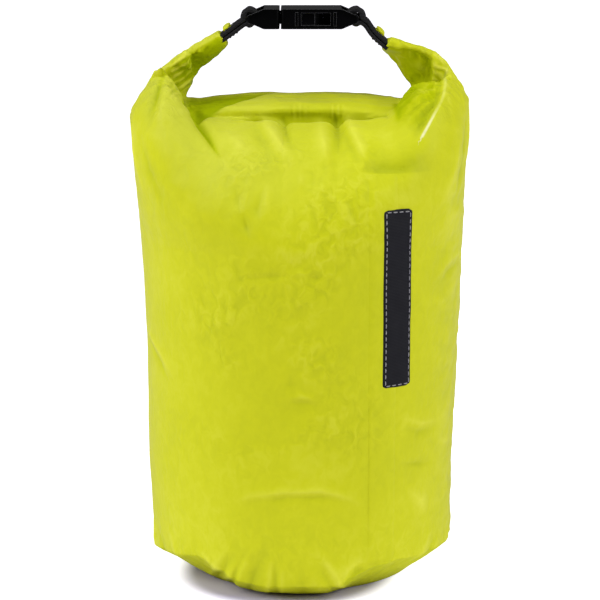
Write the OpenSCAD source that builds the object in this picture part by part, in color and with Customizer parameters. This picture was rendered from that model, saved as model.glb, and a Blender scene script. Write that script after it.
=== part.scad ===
// Roll-top stuff sack, stuffed and closed: a coated fabric tube on a round base, its mouth rolled
// flat around a stiffener strip, and the two ends of the roll bent up to a side-release buckle.
// Millimetres. +Z is up, the front faces -Y, and the origin is the middle of the base on the ground.

/* [Sack] */
// Diameter of the round base, outside the turned-under edge
base_d = 170; // [140:1:185]
// Width across the shoulders, where the side walls reach the rolled top
shoulder_w = 187; // [176:1:230]
// Depth from front to back where the sack is fullest
belly_depth = 176; // [140:1:220]
// Height of the shoulder corners above the ground
shoulder_h = 260; // [225:1:340]
// Height at which the front and back start to lean over towards the mouth
lean_h = 192; // [120:1:215]
// Radius of the turned-under bottom edge
base_round = 12; // [7:0.5:20]
// Thickness of the coated fabric, as modelled
fabric_t = 1.2; // [0.8:0.1:2]

/* [Seams] */
// Width of the lapped seam down the side panel
seam_w = 15; // [8:1:24]
// Thickness of the lapped layer
seam_t = 0.6; // [0.4:0.1:1.2]
// Turn of the side seam from the front towards the right, in degrees
seam_angle = 30; // [0:1:60]
// Width of the tape behind each seam
tape_w = 12; // [8:1:20]
// Thickness of the tape
tape_t = 0.5; // [0.3:0.1:1]

/* [Rolled closure] */
// Number of turns in the roll
roll_turns = 3; // [2:1:4]
// Thickness of the fabric in the roll, as modelled
turn_t = 0.9; // [0.6:0.1:1.2]
// Free gap between two turns
turn_gap = 0.5; // [0.45:0.05:0.8]
// Reach of the roll to the left of the middle
roll_left = 62; // [50:1:66]
// Reach of the roll to the right of the middle
roll_right = 55; // [45:1:66]
// Width of the stiffener strip in the hem
strip_w = 16; // [10:1:24]
// Thickness of the stiffener strip
strip_t = 1.2; // [0.8:0.1:2]

/* [Carry loop] */
// Height of the buckle's middle above the shoulders
loop_rise = 51; // [46:1:75]
// Place of the buckle's middle to the right of the sack's middle
buckle_shift = 1.5; // [-6:0.5:6]
// Length of the left tab from the buckle's bar to the roll's end
left_tab_l = 17; // [14:0.5:20]
// Length of the right tab from the buckle's bar to the roll's end
right_tab_l = 23.5; // [14:0.5:26]
// Slope of the left tab below the horizontal, in degrees
left_tab_slope = 38; // [34:1:50]
// Slope of the right tab below the horizontal, in degrees
right_tab_slope = 41; // [36:1:52]
// Thickness of the rolled end where its tab is sewn on
horn_tip_t = 10; // [7:0.5:12]
// Width of the tab webbing
webbing_w = 20; // [15:1:25]
// Thickness of one layer of the webbing
webbing_t = 1.5; // [1:0.1:2]
// Thickness of the hem's end that is sewn between the webbing's layers
tongue_t = 2.2; // [1.4:0.1:3]
// Depth of the hem's end between the layers
tongue_l = 8; // [5:0.5:9]

/* [Buckle] */
// Thickness of both halves
buckle_t = 11; // [10:0.5:13]
// Length of the half with the prongs, without the prongs
male_l = 17.6; // [16:0.2:22]
// Length of the half with the socket
female_l = 42.4; // [40:0.2:50]
// Open line between the two halves
split_gap = 0.8; // [0.6:0.1:1.5]
// Diameter of the bar that holds the webbing
bar_d = 4; // [3:0.1:4.6]
// Length of the slot between the bar and the body
slot_l = 5; // [4.6:0.1:6]
// Width of the side rails of both halves
rail_w = 3.6; // [3:0.1:5]
// Height of the socket and of its side windows
socket_h = 6.8; // [5:0.1:7.4]
// Length of the side windows
window_l = 16; // [14.5:0.1:18]
// Reach of the prongs into the socket
prong_l = 24; // [20:0.1:24.5]
// Width of a prong's arm
prong_w = 2.8; // [2:0.1:3.2]
// Length of a prong's squeeze pad
pad_l = 11.5; // [9:0.1:12]
// Width of the guide tongue between the prongs
guide_w = 4.4; // [3:0.1:5]

/* [Hidden] */

// Clearances
seat_gap = 0.4;     // round a soft piece that sits in another
lay_gap = 0.3;      // under a layer that lies on a convex wall
inner_gap = 0.45;   // behind a layer that lies in a concave wall
sleeve_gap = 0.2;   // round the stiffener and the hem's ends
tape_lap = 0.5;     // how far the base tape reaches past the base seam
end_gap = 0.5;      // between the roll and each bent-up end
run_gap = 0.2;      // between the webbing loop and its bar
hinge_gap = 0.05;   // round a prong's root
socket_gap = 0.4;   // above and below a prong

// Counts
around = 64;
round_steps = 4;
wall_steps = 3;
lean_steps = 9;
strip_steps = 4;
horn_steps = 9;
horn_sides = 20;
turn_step = 15;
$fn = 48;

// Sack
base_r = base_d / 2;
belly_b = belly_depth / 2;
mouth_a = shoulder_w / 2;
mouth_n = 8;        // how square the mouth's ends are; 2 is an ellipse
wall_foot = base_round;
foot_r = base_r - base_round;

// Roll
core_r = strip_t / 2 + sleeve_gap;
sleeve_r = core_r + turn_t;
turn_pitch = turn_t + turn_gap;
first_turn_r = sleeve_r + turn_gap + turn_t / 2;
roll_r = first_turn_r + roll_turns * turn_pitch + turn_t / 2;
roll_b = strip_w / 2 + roll_r;
roll_z = shoulder_h + seat_gap;
mouth_b = roll_b + seat_gap;

// Carry loop
buckle_z = shoulder_h + loop_rise;
slot_w = webbing_w + 4 * run_gap;
buckle_w = slot_w + 2 * rail_w;
buckle_l = male_l + split_gap + female_l;
bar_x = buckle_l / 2 - bar_d / 2;
loop_r = bar_d / 2 + run_gap;
tongue_w = webbing_w - 2;
horn_tip_w = webbing_w + 1;
horn_base_w = 2 * roll_b - 5;
horn_drop = 5;      // how far a bent-up end reaches down into the mouth
horn_wall_gap = 1.2;
horn_swell = 1.5;   // how fast an end swells towards its foot
thread_d = 0.7;
thread_rows = 3;
thread_pitch = 1.3;

// Buckle
split_x = -buckle_l / 2 + male_l;
socket_x = split_x + split_gap;
body_round = 2;
bar_wall = 0.5;     // plastic round the bar at the ends of the rails
male_body_x = -bar_x + bar_d / 2 + slot_l;
female_body_x = bar_x - bar_d / 2 - slot_l;
root_r = prong_w / 2 + 0.8;
root_x = split_x - root_r + 0.4;
throat_w = slot_w + 1;
prong_y = throat_w / 2 - prong_w / 2 - 1.9;
prong_tip_x = split_x + prong_l;
pad_x = prong_tip_x - pad_l;
pad_y = buckle_w / 2 - 1.2;
window_x = pad_x - 0.5;
guide_l = prong_l - 6;

// Half-width of the sack at a height
function wall_a(z) = base_r + (mouth_a - base_r) * (z - wall_foot) / (shoulder_h - wall_foot);

// Half-depth of the sack below the lean
function wall_b(z) = base_r + (belly_b - base_r) * (z - wall_foot) / (lean_h - wall_foot);

// The sack's sections from the base to the mouth, each [half-width, half-depth, height, squareness]
sections = [
  for (i = [0 : round_steps - 1])
    let (turn = 90 * i / round_steps, r = foot_r + base_round * sin(turn))
    [r, r, base_round * (1 - cos(turn)), 2],
  for (i = [0 : wall_steps - 1])
    let (z = wall_foot + (lean_h - wall_foot) * i / wall_steps)
    [wall_a(z), wall_b(z), z, 2],
  for (i = [0 : lean_steps])
    let (turn = 90 * i / lean_steps, z = lean_h + (shoulder_h - lean_h) * sin(turn))
    [wall_a(z), mouth_b + (belly_b - mouth_b) * cos(turn), z, 2 + (mouth_n - 2) * pow(sin(turn), 3)]
];
foot_count = round_steps;
last = len(sections) - 1;

// A point on the sack's outside: section number, and angle from the right side
function skin_point(i, angle) =
  let (s = sections[max(0, min(last, i))], c = cos(angle))
  [s[0] * c, sign(sin(angle)) * s[1] * pow(max(0, 1 - pow(abs(c), s[3])), 1 / s[3]), s[2]];

// The outward direction there
function skin_normal(i, angle) =
  let (across = skin_point(i, angle + 2) - skin_point(i, angle - 2),
       up = i == 0 ? [cos(angle), sin(angle), 0]
          : i == last ? [0, -sin(angle) * (abs(cos(angle)) > 0.99 ? 0 : 1), abs(cos(angle)) > 0.99 ? 1 : 0]
          : skin_point(i + 1, angle) - skin_point(i - 1, angle),
       n = cross(across, up))
  n / norm(n);

// The outside moved out along its own direction
function skin_offset(i, angle, d) = skin_point(i, angle) + d * skin_normal(i, angle);

// Faces between closed rings of points, joined end to end or capped
function ring_faces(count, sides, closed) = [
  for (i = [0 : count - (closed ? 1 : 2)])
    for (j = [0 : sides - 1])
      let (a = i * sides + j, b = i * sides + (j + 1) % sides,
           next = ((i + 1) % count) * sides, c = next + (j + 1) % sides, d = next + j)
      each [[a, c, b], [a, d, c]]
];

module loft(rings, closed = false) {
  sides = len(rings[0]);
  count = len(rings);
  first = [for (j = [0 : sides - 1]) j];
  end = [for (j = [sides - 1 : -1 : 0]) (count - 1) * sides + j];
  caps = closed ? [] : [first, end];
  polyhedron(points = [for (r = rings) each r], faces = concat(ring_faces(count, sides, closed), caps));
}

module side_panel() {
  step = 360 / around;
  outside = [for (i = [0 : last]) [for (j = [0 : around - 1]) skin_point(i, j * step)]];
  inside = [for (i = [last : -1 : 0]) [for (j = [0 : around - 1]) skin_offset(i, j * step, -fabric_t)]];
  color("yellowgreen") loft(concat(outside, inside), closed = true);
}

module base_panel() {
  color("yellowgreen") cylinder(r = foot_r - seat_gap, h = fabric_t);
}

// A layer that follows the wall along the side seam, between two distances from the outside
module seam_layer(width, low, high) {
  middle = seam_angle - 90;
  half = width / 2 / belly_b * 180 / PI;
  turns = [for (k = [0 : strip_steps]) middle - half + 2 * half * k / strip_steps];
  loft([for (i = [foot_count : last - 2])
    [for (k = [0 : strip_steps]) skin_offset(i, turns[k], high),
     for (k = [strip_steps : -1 : 0]) skin_offset(i, turns[k], low)]]);
}

module side_seam() {
  color("olivedrab") seam_layer(seam_w, lay_gap, lay_gap + seam_t);
}

module side_seam_tape() {
  inside = fabric_t + inner_gap;
  color("gainsboro") seam_layer(tape_w, -inside - tape_t, -inside);
}

module base_seam_tape() {
  color("gainsboro") translate([0, 0, fabric_t + inner_gap])
    rotate_extrude() translate([foot_r + tape_lap - tape_w, 0]) square([tape_w, tape_t]);
}

// Lays a drawing of depth and height along the sack's width
module along_width(x0, x1) {
  translate([x0, 0, roll_z]) rotate([90, 0, 90]) linear_extrude(x1 - x0) children();
}

// One point of the flattened spiral
function turn_point(turn, r) =
  let (side = cos(turn) > 0 ? 1 : -1) [side * strip_w / 2 + r * cos(turn), r * sin(turn)];

// One side of the wound fabric, with both corners of each flat run
function turn_side(shift) = [
  for (turn = [0 : turn_step : 360 * roll_turns])
    let (r = first_turn_r + turn_pitch * turn / 360 + shift, flat = abs(cos(turn)) < 0.001)
    each flat ? [turn_point(turn - 0.01, r), turn_point(turn + 0.01, r)] : [turn_point(turn, r)]
];

function backwards(list) = [for (i = [len(list) - 1 : -1 : 0]) list[i]];

module closure_roll() {
  color("yellowgreen") along_width(-roll_left, roll_right)
    polygon(concat(turn_side(turn_t / 2), backwards(turn_side(-turn_t / 2))));
}

module flat_ring(r) {
  square([strip_w, 2 * r], center = true);
  for (side = [-1, 1]) translate([side * strip_w / 2, 0]) circle(r);
}

module hem_sleeve() {
  color("olivedrab") along_width(-roll_left, roll_right) difference() {
    flat_ring(sleeve_r);
    flat_ring(core_r);
  }
}

module stiffener_strip() {
  color("white") along_width(-roll_left, roll_right) square([strip_w, strip_t], center = true);
}

// Bent-up ends of the roll: side is -1 on the left and 1 on the right
function tab_l(side) = side < 0 ? left_tab_l : right_tab_l;
function tab_slope(side) = side < 0 ? left_tab_slope : right_tab_slope;
function tab_way(side) = [side * cos(tab_slope(side)), -sin(tab_slope(side))];
function bar_at(side) = [buckle_shift + side * bar_x, buckle_z];
function horn_tip(side) = bar_at(side) + tab_way(side) * (tab_l(side) + lay_gap);
function roll_end(side) = side * ((side < 0 ? roll_left : roll_right) + end_gap);
function horn_side(side) = side * (mouth_a - fabric_t - horn_wall_gap);
function horn_foot(side) = [(roll_end(side) + horn_side(side)) / 2, roll_z - horn_drop];
function horn_foot_t(side) = abs(horn_side(side) - roll_end(side));

// The line through an end, as [x, z], from its foot to its tip
function horn_line(side, s) =
  let (p0 = horn_foot(side), p3 = horn_tip(side), reach = norm(p3 - p0) / 3,
       p1 = p0 + [0, reach], p2 = p3 + tab_way(side) * reach, q = 1 - s)
  p0 * pow(q, 3) + p1 * 3 * q * q * s + p2 * 3 * q * s * s + p3 * pow(s, 3);

function horn_way(side, s) =
  let (d = horn_line(side, s + 0.01) - horn_line(side, s - 0.01))
  s < 0.001 ? [0, 1] : d / norm(d);

function horn_t(side, s) = horn_tip_t + (horn_foot_t(side) - horn_tip_t) * pow(1 - s, horn_swell);
function horn_w(s) = horn_base_w + (horn_tip_w - horn_base_w) * s;

// A rounded section across the line: width front to back, thickness across the bend
function horn_ring(at, way, width, thick, n) = [
  for (j = [0 : horn_sides - 1])
    let (turn = 360 * j / horn_sides, c = cos(turn), s = sin(turn),
         y = width / 2 * sign(c) * pow(abs(c), 2 / n), t = thick / 2 * sign(s) * pow(abs(s), 2 / n))
    [at[0] - way[1] * t, y, at[1] + way[0] * t]
];

// The hem's end that goes between the webbing's layers
function tongue_rings(side) = [
  for (d = [0, tongue_l])
    horn_ring(horn_tip(side) - tab_way(side) * d, -tab_way(side), tongue_w, tongue_t, 5)
];

function horn_rings(side, extra_w, extra_t, n) = [
  for (i = [0 : horn_steps]) let (s = i / horn_steps)
    horn_ring(horn_line(side, s), horn_way(side, s), horn_w(s) + extra_w, horn_t(side, s) + extra_t, n)
];

// A flat strip down the middle of an end, stopping short of its tip
function horn_strip(side, width, thick, first, stop) = [
  for (i = [first : horn_steps - stop]) let (s = max(0, i / horn_steps))
    horn_ring(horn_line(side, s) + (i < 0 ? [0, i] : [0, 0]), horn_way(side, s), width, thick, 8)
];

module horn(side) {
  color("yellowgreen") difference() {
    loft(concat(horn_rings(side, 0, 0, 2.6), tongue_rings(side)));
    loft(horn_strip(side, strip_w + 2 * sleeve_gap, strip_t + 2 * sleeve_gap, -1, 2));
  }
}

module stiffener_end(side) {
  color("white") loft(horn_strip(side, strip_w, strip_t, 0, 3));
}

// Carries a drawing made along a tab, bar at its origin, to its place
module at_tab(side, width) {
  at = bar_at(side);
  translate([at[0], width / 2, at[1]]) rotate([90, 0, 0])
    rotate(side < 0 ? 180 + tab_slope(side) : -tab_slope(side)) linear_extrude(width) children();
}

// The webbing's outline from the loop round the bar to its sewn end
module tab_outline(loop, spread, length) {
  polygon([for (turn = [72 : 9 : 288]) loop * [cos(turn), sin(turn)],
           [loop + 3, -spread], [length, -spread], [length, spread], [loop + 3, spread]]);
}

module tab(side) {
  inside = tongue_t / 2 + sleeve_gap;
  color("dimgray") at_tab(side, webbing_w) difference() {
    tab_outline(loop_r + webbing_t, inside + webbing_t, tab_l(side));
    tab_outline(loop_r, inside, tab_l(side) + 1);
  }
}

// Rows of thread across both faces of a tab
module bartack(side) {
  face = tongue_t / 2 + sleeve_gap + webbing_t + thread_d / 2;
  color("black") for (row = [1 : thread_rows], top = [-1, 1])
    at_tab(side, tongue_w - 2)
      translate([tab_l(side) - tongue_l / 2 + (row - (thread_rows + 1) / 2) * thread_pitch, top * face])
        circle(d = thread_d);
}

// Moves a piece drawn about the buckle's middle to its place
module at_buckle() {
  translate([buckle_shift, 0, buckle_z]) children();
}

// A half's outline from above, cut away between its rails from its body to its bar's end
module half_outline(x0, x1, cut0, cut1) {
  difference() {
    translate([x0 + body_round, -buckle_w / 2 + body_round])
      offset(r = body_round) square([x1 - x0 - 2 * body_round, buckle_w - 2 * body_round]);
    translate([cut0, -slot_w / 2]) square([cut1 - cut0, slot_w]);
  }
}

// A half's outline from the side: full thickness at the split, tapering to the bar
module half_profile(end, body, split) {
  polygon([[end, bar_d / 2 + bar_wall], [body, buckle_t / 2], [split, buckle_t / 2],
           [split, -buckle_t / 2], [body, -buckle_t / 2], [end, -bar_d / 2 - bar_wall]]);
  translate([end, 0]) circle(d = bar_d + 2 * bar_wall);
}

// A half without its working hollows: side is -1 on the left and 1 on the right
module half_body(side, split, body) {
  end = side * (buckle_l / 2 + bar_wall);
  intersection() {
    translate([0, 0, -buckle_t]) linear_extrude(2 * buckle_t)
      half_outline(min(end, split), max(end, split), min(2 * end, body), max(2 * end, body));
    rotate([90, 0, 0]) linear_extrude(2 * buckle_w, center = true)
      half_profile(side * bar_x, body, split);
  }
  translate([side * bar_x, 0, 0]) rotate([90, 0, 0])
    cylinder(d = bar_d, h = slot_w + rail_w, center = true);
}

module female_housing() {
  socket_l = window_x + window_l - socket_x;
  color("dimgray") at_buckle() difference() {
    half_body(1, socket_x, female_body_x);
    translate([socket_x - 1, -throat_w / 2, -socket_h / 2]) cube([socket_l + 1, throat_w, socket_h]);
    translate([window_x, -buckle_w, -socket_h / 2]) cube([window_l, 2 * buckle_w, socket_h]);
  }
}

module male_frame() {
  guide_h = socket_h - 2 * socket_gap - 1.6;
  pocket_h = socket_h - socket_gap;
  color("dimgray") at_buckle() {
    difference() {
      half_body(-1, split_x, male_body_x);
      for (side = [-1, 1]) translate([0, side * prong_y, -pocket_h / 2]) linear_extrude(pocket_h) {
        translate([root_x, 0]) circle(root_r + hinge_gap);
        translate([root_x, -prong_w / 2 - seat_gap]) square([root_r + seat_gap, prong_w + 2 * seat_gap]);
      }
    }
    translate([split_x - 1, -guide_w / 2, -guide_h / 2]) cube([guide_l + 1, guide_w, guide_h]);
  }
}

// One sprung arm with its squeeze pad, on a round root: side is -1 in front and 1 behind
module prong(side) {
  prong_h = socket_h - 2 * socket_gap;
  root_h = prong_h - 2 * sleeve_gap;
  color("dimgray") at_buckle() mirror([0, side < 0 ? 1 : 0, 0]) {
    translate([root_x, prong_y, 0]) cylinder(r = root_r, h = root_h, center = true);
    translate([0, prong_y, 0]) linear_extrude(prong_h, center = true)
      polygon([[root_x, -prong_w / 2], [root_x, prong_w / 2], [pad_x, prong_w / 2],
               [pad_x, pad_y - prong_y], [pad_x + pad_l * 0.6, pad_y - prong_y],
               [prong_tip_x, prong_w / 2], [prong_tip_x, -prong_w / 2]]);
  }
}

side_panel();
base_panel();
side_seam();
side_seam_tape();
base_seam_tape();
closure_roll();
hem_sleeve();
stiffener_strip();
horn(-1);  // left_horn
horn(1);  // right_horn
stiffener_end(-1);  // left_stiffener_end
stiffener_end(1);  // right_stiffener_end
tab(-1);  // left_tab
tab(1);  // right_tab
bartack(-1);  // left_bartack
bartack(1);  // right_bartack
female_housing();
male_frame();
prong(-1);  // prong_front
prong(1);  // prong_rear
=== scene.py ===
import math

import bmesh
import bpy
import numpy as np
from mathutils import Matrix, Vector


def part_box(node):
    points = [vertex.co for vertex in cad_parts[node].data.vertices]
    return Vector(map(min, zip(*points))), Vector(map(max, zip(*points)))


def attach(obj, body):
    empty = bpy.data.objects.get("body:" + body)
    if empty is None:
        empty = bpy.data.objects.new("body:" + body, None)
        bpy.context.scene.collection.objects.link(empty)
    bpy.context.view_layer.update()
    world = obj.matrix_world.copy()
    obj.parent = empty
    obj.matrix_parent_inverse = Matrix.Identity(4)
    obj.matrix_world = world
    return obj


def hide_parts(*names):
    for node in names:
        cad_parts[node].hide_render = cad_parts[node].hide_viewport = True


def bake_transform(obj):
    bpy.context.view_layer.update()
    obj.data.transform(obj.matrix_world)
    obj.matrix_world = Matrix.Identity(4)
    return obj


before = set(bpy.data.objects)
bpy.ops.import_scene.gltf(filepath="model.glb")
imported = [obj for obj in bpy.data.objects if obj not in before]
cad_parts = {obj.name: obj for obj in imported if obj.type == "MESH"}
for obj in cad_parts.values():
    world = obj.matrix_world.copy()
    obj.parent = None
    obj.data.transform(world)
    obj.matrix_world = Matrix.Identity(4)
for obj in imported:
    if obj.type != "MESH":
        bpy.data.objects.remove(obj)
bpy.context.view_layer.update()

# Camera: a long lens on the sack's middle line, 1.3 m away. It stands a little above the sack and looks
# down on its front, as a product photograph does.
aim = Vector((0, 0, 0.151))
camera_away = 1.3
camera_tilt = math.radians(12)


def placed(name, data):
    made = bpy.data.objects.new(name, data)
    bpy.context.collection.objects.link(made)
    return made


camera_data = bpy.data.cameras.new("camera")
camera_data.sensor_width = 36
camera_data.lens = 137.4
camera = placed("camera", camera_data)
camera.location = aim + camera_away * Vector((0, -math.cos(camera_tilt), math.sin(camera_tilt)))
camera.rotation_euler = (math.pi / 2 - camera_tilt, 0, 0)
bpy.context.scene.camera = camera

# Side panel: one tube of coated nylon, packed full. It widens from the base to the shoulders, leans in
# to the mouth at the front and the back, and its bottom edge is turned under to the base. At the front
# its top edge stands up into a lap before each end of the roll.

# Places and sizes of the meshes are in millimetres. A field is below zero inside the piece that it
# describes.
MM = 0.001
lean_z = 192
belly_half = (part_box("side_panel")[1].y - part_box("side_panel")[0].y) / 2 / MM
lap_half = 18
rim_half = 85.2
rest_half = 64
# Outline of the tube: z, and x at its left and right.
side_lines = np.array([
    (0, -83.9, 86.5), (27, -84.6, 86.3), (63, -86.3, 86.8), (98, -86.2, 88.2), (133, -86.7, 89.6),
    (168, -88.4, 90.8), (203, -90.3, 91.7), (237, -92.9, 92.5), (256, -94.4, 93.3),
    (290, -97, 94.5),
])
# Top edge of the front: x and z.
top_edge = np.array([
    (-94.7, 260), (-92.4, 264.5), (-89, 269), (-86, 274.5), (-83.4, 279), (-80.5, 283.6),
    (-77.5, 285.8), (-75, 285.5), (-72.3, 281.5), (-66.5, 272), (-61, 263), (-56, 258),
    (-50, 257.5), (36, 258), (48, 258.8), (53, 262.5), (57.5, 270), (62, 274), (67, 276.3),
    (76, 277), (79.5, 279), (84.5, 282), (90, 276), (94, 267), (95.3, 258),
])
notches, notch_depth, notch_half = (-9.3, 20), 2.4, 5
# Turned-under edge: degrees round from the front, its height, and how straight it runs.
rim_edge = np.array([
    (-180, 14, 0.8), (-90, 9.5, 1), (-60, 15, 1), (-42, 20, 1), (-35, 18, 0.9), (-27, 12, 0.5),
    (-18, 9, 0.45), (12, 9, 0.45), (20, 13, 0.7), (28, 18, 1), (40, 19, 1), (50, 17.5, 1),
    (90, 16.5, 1), (180, 14, 0.8),
])
edge_x = np.linspace(-100, 100, 401)
blur = np.hanning(81)
wide_edge = np.pad(np.interp(edge_x, *top_edge.T), len(blur) // 2, "edge")
soft_edge = np.convolve(wide_edge, blur / blur.sum(), "valid")


def ease(value, start, end):
    share = np.clip((value - start) / (end - start), 0, 1)
    return share * share * (3 - 2 * share)


def between(value, start, full, fade, end):
    """Rises from 0 to 1 between start and full, and falls again between fade and end."""
    return ease(value, start, full) * ease(-value, -end, -fade)


def tube(points):
    x, y, z = points.T
    left, right = (np.interp(z, side_lines[:, 0], side_lines[:, side]) for side in (1, 2))
    half_w, middle = (right - left) / 2, (right + left) / 2
    half_d = rim_half + (belly_half - rim_half) * np.clip(z / lean_z, 0, 1)
    dips = notch_depth * sum(np.clip(1 - np.abs(x - notch) / notch_half, 0, 1) for notch in notches)
    lean = np.clip((z - lean_z) / (np.interp(x, edge_x, soft_edge) - dips - lean_z), 0, 1)
    half_d = lap_half + (half_d - lap_half) * np.sqrt(1 - lean**2)
    turn = np.degrees(np.arctan2(x, -y))
    rim_z, round_under = (np.interp(turn, rim_edge[:, 0], rim_edge[:, k]) for k in (1, 2))
    tucked = rest_half / rim_half + (1 - rest_half / rim_half) * np.clip(z / rim_z, 0, 1) ** round_under
    corner = 2 + 1.2 * lean
    out = np.abs((x - middle) / (half_w * tucked)) ** corner + np.abs(y / (half_d * tucked)) ** corner
    wall = (out ** (1 / corner) - 1) * np.minimum(half_w, half_d) * tucked
    back_drop = np.where(x < 0, 9, 6) * ease(y, -19, 6) * ease(np.abs(x), 35, 60)
    behind_lap = np.where(x < 0, ease(-x, 60, 66), ease(x, 50, 58)) * ease(-np.abs(x), -81, -77)
    top = np.interp(x, *top_edge.T) - back_drop - 8 * ease(y, -14, -8) * behind_lap
    return np.maximum(np.maximum(wall, -z), 0.6 * (z - top))


def smooth_least(first, second, reach):
    share = np.clip(0.5 + 0.5 * (second - first) / reach, 0, 1)
    return second + (first - second) * share - reach * share * (1 - share)


def smooth_most(first, second, reach):
    return -smooth_least(-first, -second, reach)


# Rolled mouth: the flattened top of the tube, rolled down over a stiffener towards the front. A slack
# pocket is left between the roll and the front panel's top edge.
roll_low, roll_high = (np.array(corner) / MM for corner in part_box("closure_roll"))
roll_middle = (roll_low + roll_high) / 2
roll_half = np.array([(roll_high[0] - roll_low[0]) / 2 + 2.5, 19.5, 5.8])
roll_tip = math.radians(1)
roll_back, roll_lift = 1, 1.4
pocket_x, pocket_y, pocket_z = 4, -23.5, 255
pocket_left, pocket_right = 44, 52
pocket_half_d, pocket_half_h = 6.8, 8


def roll(points):
    x, y, z = points.T
    y = y - roll_back
    z = z - roll_middle[2] - roll_lift + np.where(x < 0, 0.0008, 0.0012) * x**2
    along = y * math.cos(roll_tip) + z * math.sin(roll_tip)
    up = z * math.cos(roll_tip) - y * math.sin(roll_tip)
    body = (np.hypot(along / roll_half[1], up / roll_half[2]) - 1) * roll_half[2]
    return smooth_most(body, np.abs(x - roll_middle[0]) - roll_half[0], 3)


def pocket(points):
    x, y, z = points.T
    to_side = (x - pocket_x) / np.where(x < pocket_x, pocket_left, pocket_right)
    open_share = np.clip(1 - to_side**2, 0, 1) ** 0.7
    deep = np.hypot((y - pocket_y) / pocket_half_d, (z - pocket_z) / pocket_half_h)
    return (deep - open_share) * pocket_half_d


# Ends of the roll: the flat roll runs on past the pocket at both sides, and is bent up there into two
# horns that the buckle draws together. A lap of the front panel stands up in front of each foot.
path_power = 2.6
# Path of each end: x, z, half the thickness, half the width, the way back, and the twist in degrees.
left_path = np.array([
    (-67, 240, 5.5, 13, 4, 55), (-73.5, 254, 5.5, 12.5, 4, 55), (-75, 267.4, 5.6, 12.8, 4, 54),
    (-69.2, 278, 5.2, 12.6, 3, 42), (-60.2, 287, 5, 11.7, 1.5, 22), (-52, 292.6, 5.6, 11, 0.5, 18),
    (-42.2, 300.2, 4.6, 10.8, 0, 6),
])
right_path = np.array([
    (70, 240, 5.5, 14, 4, 58), (76, 254, 5.5, 14, 4, 60), (77.5, 266, 5.5, 14.3, 4, 62),
    (72.5, 277.7, 5.2, 13.5, 3, 56), (66, 284.6, 5.3, 12.4, 2, 50), (56.4, 291.6, 4.5, 11.3, 1, 24),
    (47.6, 296.6, 4, 10.8, 0, 6),
])


def curve_through(stations, count):
    """Evenly spread points of a smooth curve through all the stations."""
    padded = np.vstack([2 * stations[0] - stations[1], stations, 2 * stations[-1] - stations[-2]])
    out = []
    for share in np.linspace(0, len(stations) - 1, count):
        i = min(int(share), len(stations) - 2)
        t = share - i
        a, b, c, d = padded[i:i + 4]
        bend = (2 * a - 5 * b + 4 * c - d) * t**2 + (3 * b - a - 3 * c + d) * t**3
        out.append(0.5 * (2 * b + (c - a) * t + bend))
    return np.array(out)


def sweep(points, stations):
    """Field of a flat strip that is bent and twisted along a path."""
    x, y, z = points.T
    stops = curve_through(stations, 25)
    outward = math.copysign(1, stations[0][0])
    nearest = np.full(len(points), 1e9)
    field = np.zeros(len(points))
    for start, end in zip(stops[:-1], stops[1:]):
        way = end[:2] - start[:2]
        length = np.hypot(*way)
        way = way / length
        along = (x - start[0]) * way[0] + (z - start[1]) * way[1]
        off = outward * ((x - start[0]) * way[1] - (z - start[1]) * way[0])
        share = np.clip(along / length, 0, 1)
        half_t, half_w, back, twist = (start[k] + (end[k] - start[k]) * share for k in (2, 3, 4, 5))
        beyond = along - share * length
        turn = np.radians(twist)
        thick = off * np.cos(turn) + (y - back) * np.sin(turn)
        wide = (y - back) * np.cos(turn) - off * np.sin(turn)
        rounded = (np.hypot(thick, beyond) / half_t) ** path_power + np.abs(wide / half_w) ** path_power
        section = rounded ** (1 / path_power)
        away = np.hypot(off, beyond)
        closer = away < nearest
        nearest = np.where(closer, away, nearest)
        field = np.where(closer, (section - 1) * half_t, field)
    way = stops[-1][:2] - stops[-2][:2]
    way = way / np.hypot(*way)
    past_tip = (x - stops[-1][0]) * way[0] + (z - stops[-1][1]) * way[1]
    return smooth_most(field, past_tip, 1.5)


def fabric(points):
    x, y, z = points.T
    field = smooth_most(tube(points), -pocket(points), 2)
    field = smooth_least(field, roll(points), 1.5 + 12 * ease(y, -14, 6))
    for side, stations in ((-1, left_path), (1, right_path)):
        near = (side * x > 28) & (z > 205) & (np.abs(y) < 45)
        if near.any():
            field[near] = smooth_least(field[near], sweep(points[near], stations), 1.5)
    return field


# The fabric's mesh: the fields are sampled on a grid, skinned and drawn onto the zero level. The folds are
# then pressed into it, and the skin is cut along its seams into the separate pieces.
cell = 1.12
field_low, field_high = np.array([-98, -92, -3]), np.array([98, 92, 309])


def corners_inside(inside):
    """How many of each cell's eight corners are inside."""
    total = np.zeros([n - 1 for n in inside.shape], int)
    for corner in np.ndindex(2, 2, 2):
        total += inside[tuple(slice(c, c + n - 1) for c, n in zip(corner, inside.shape))]
    return total


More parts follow.
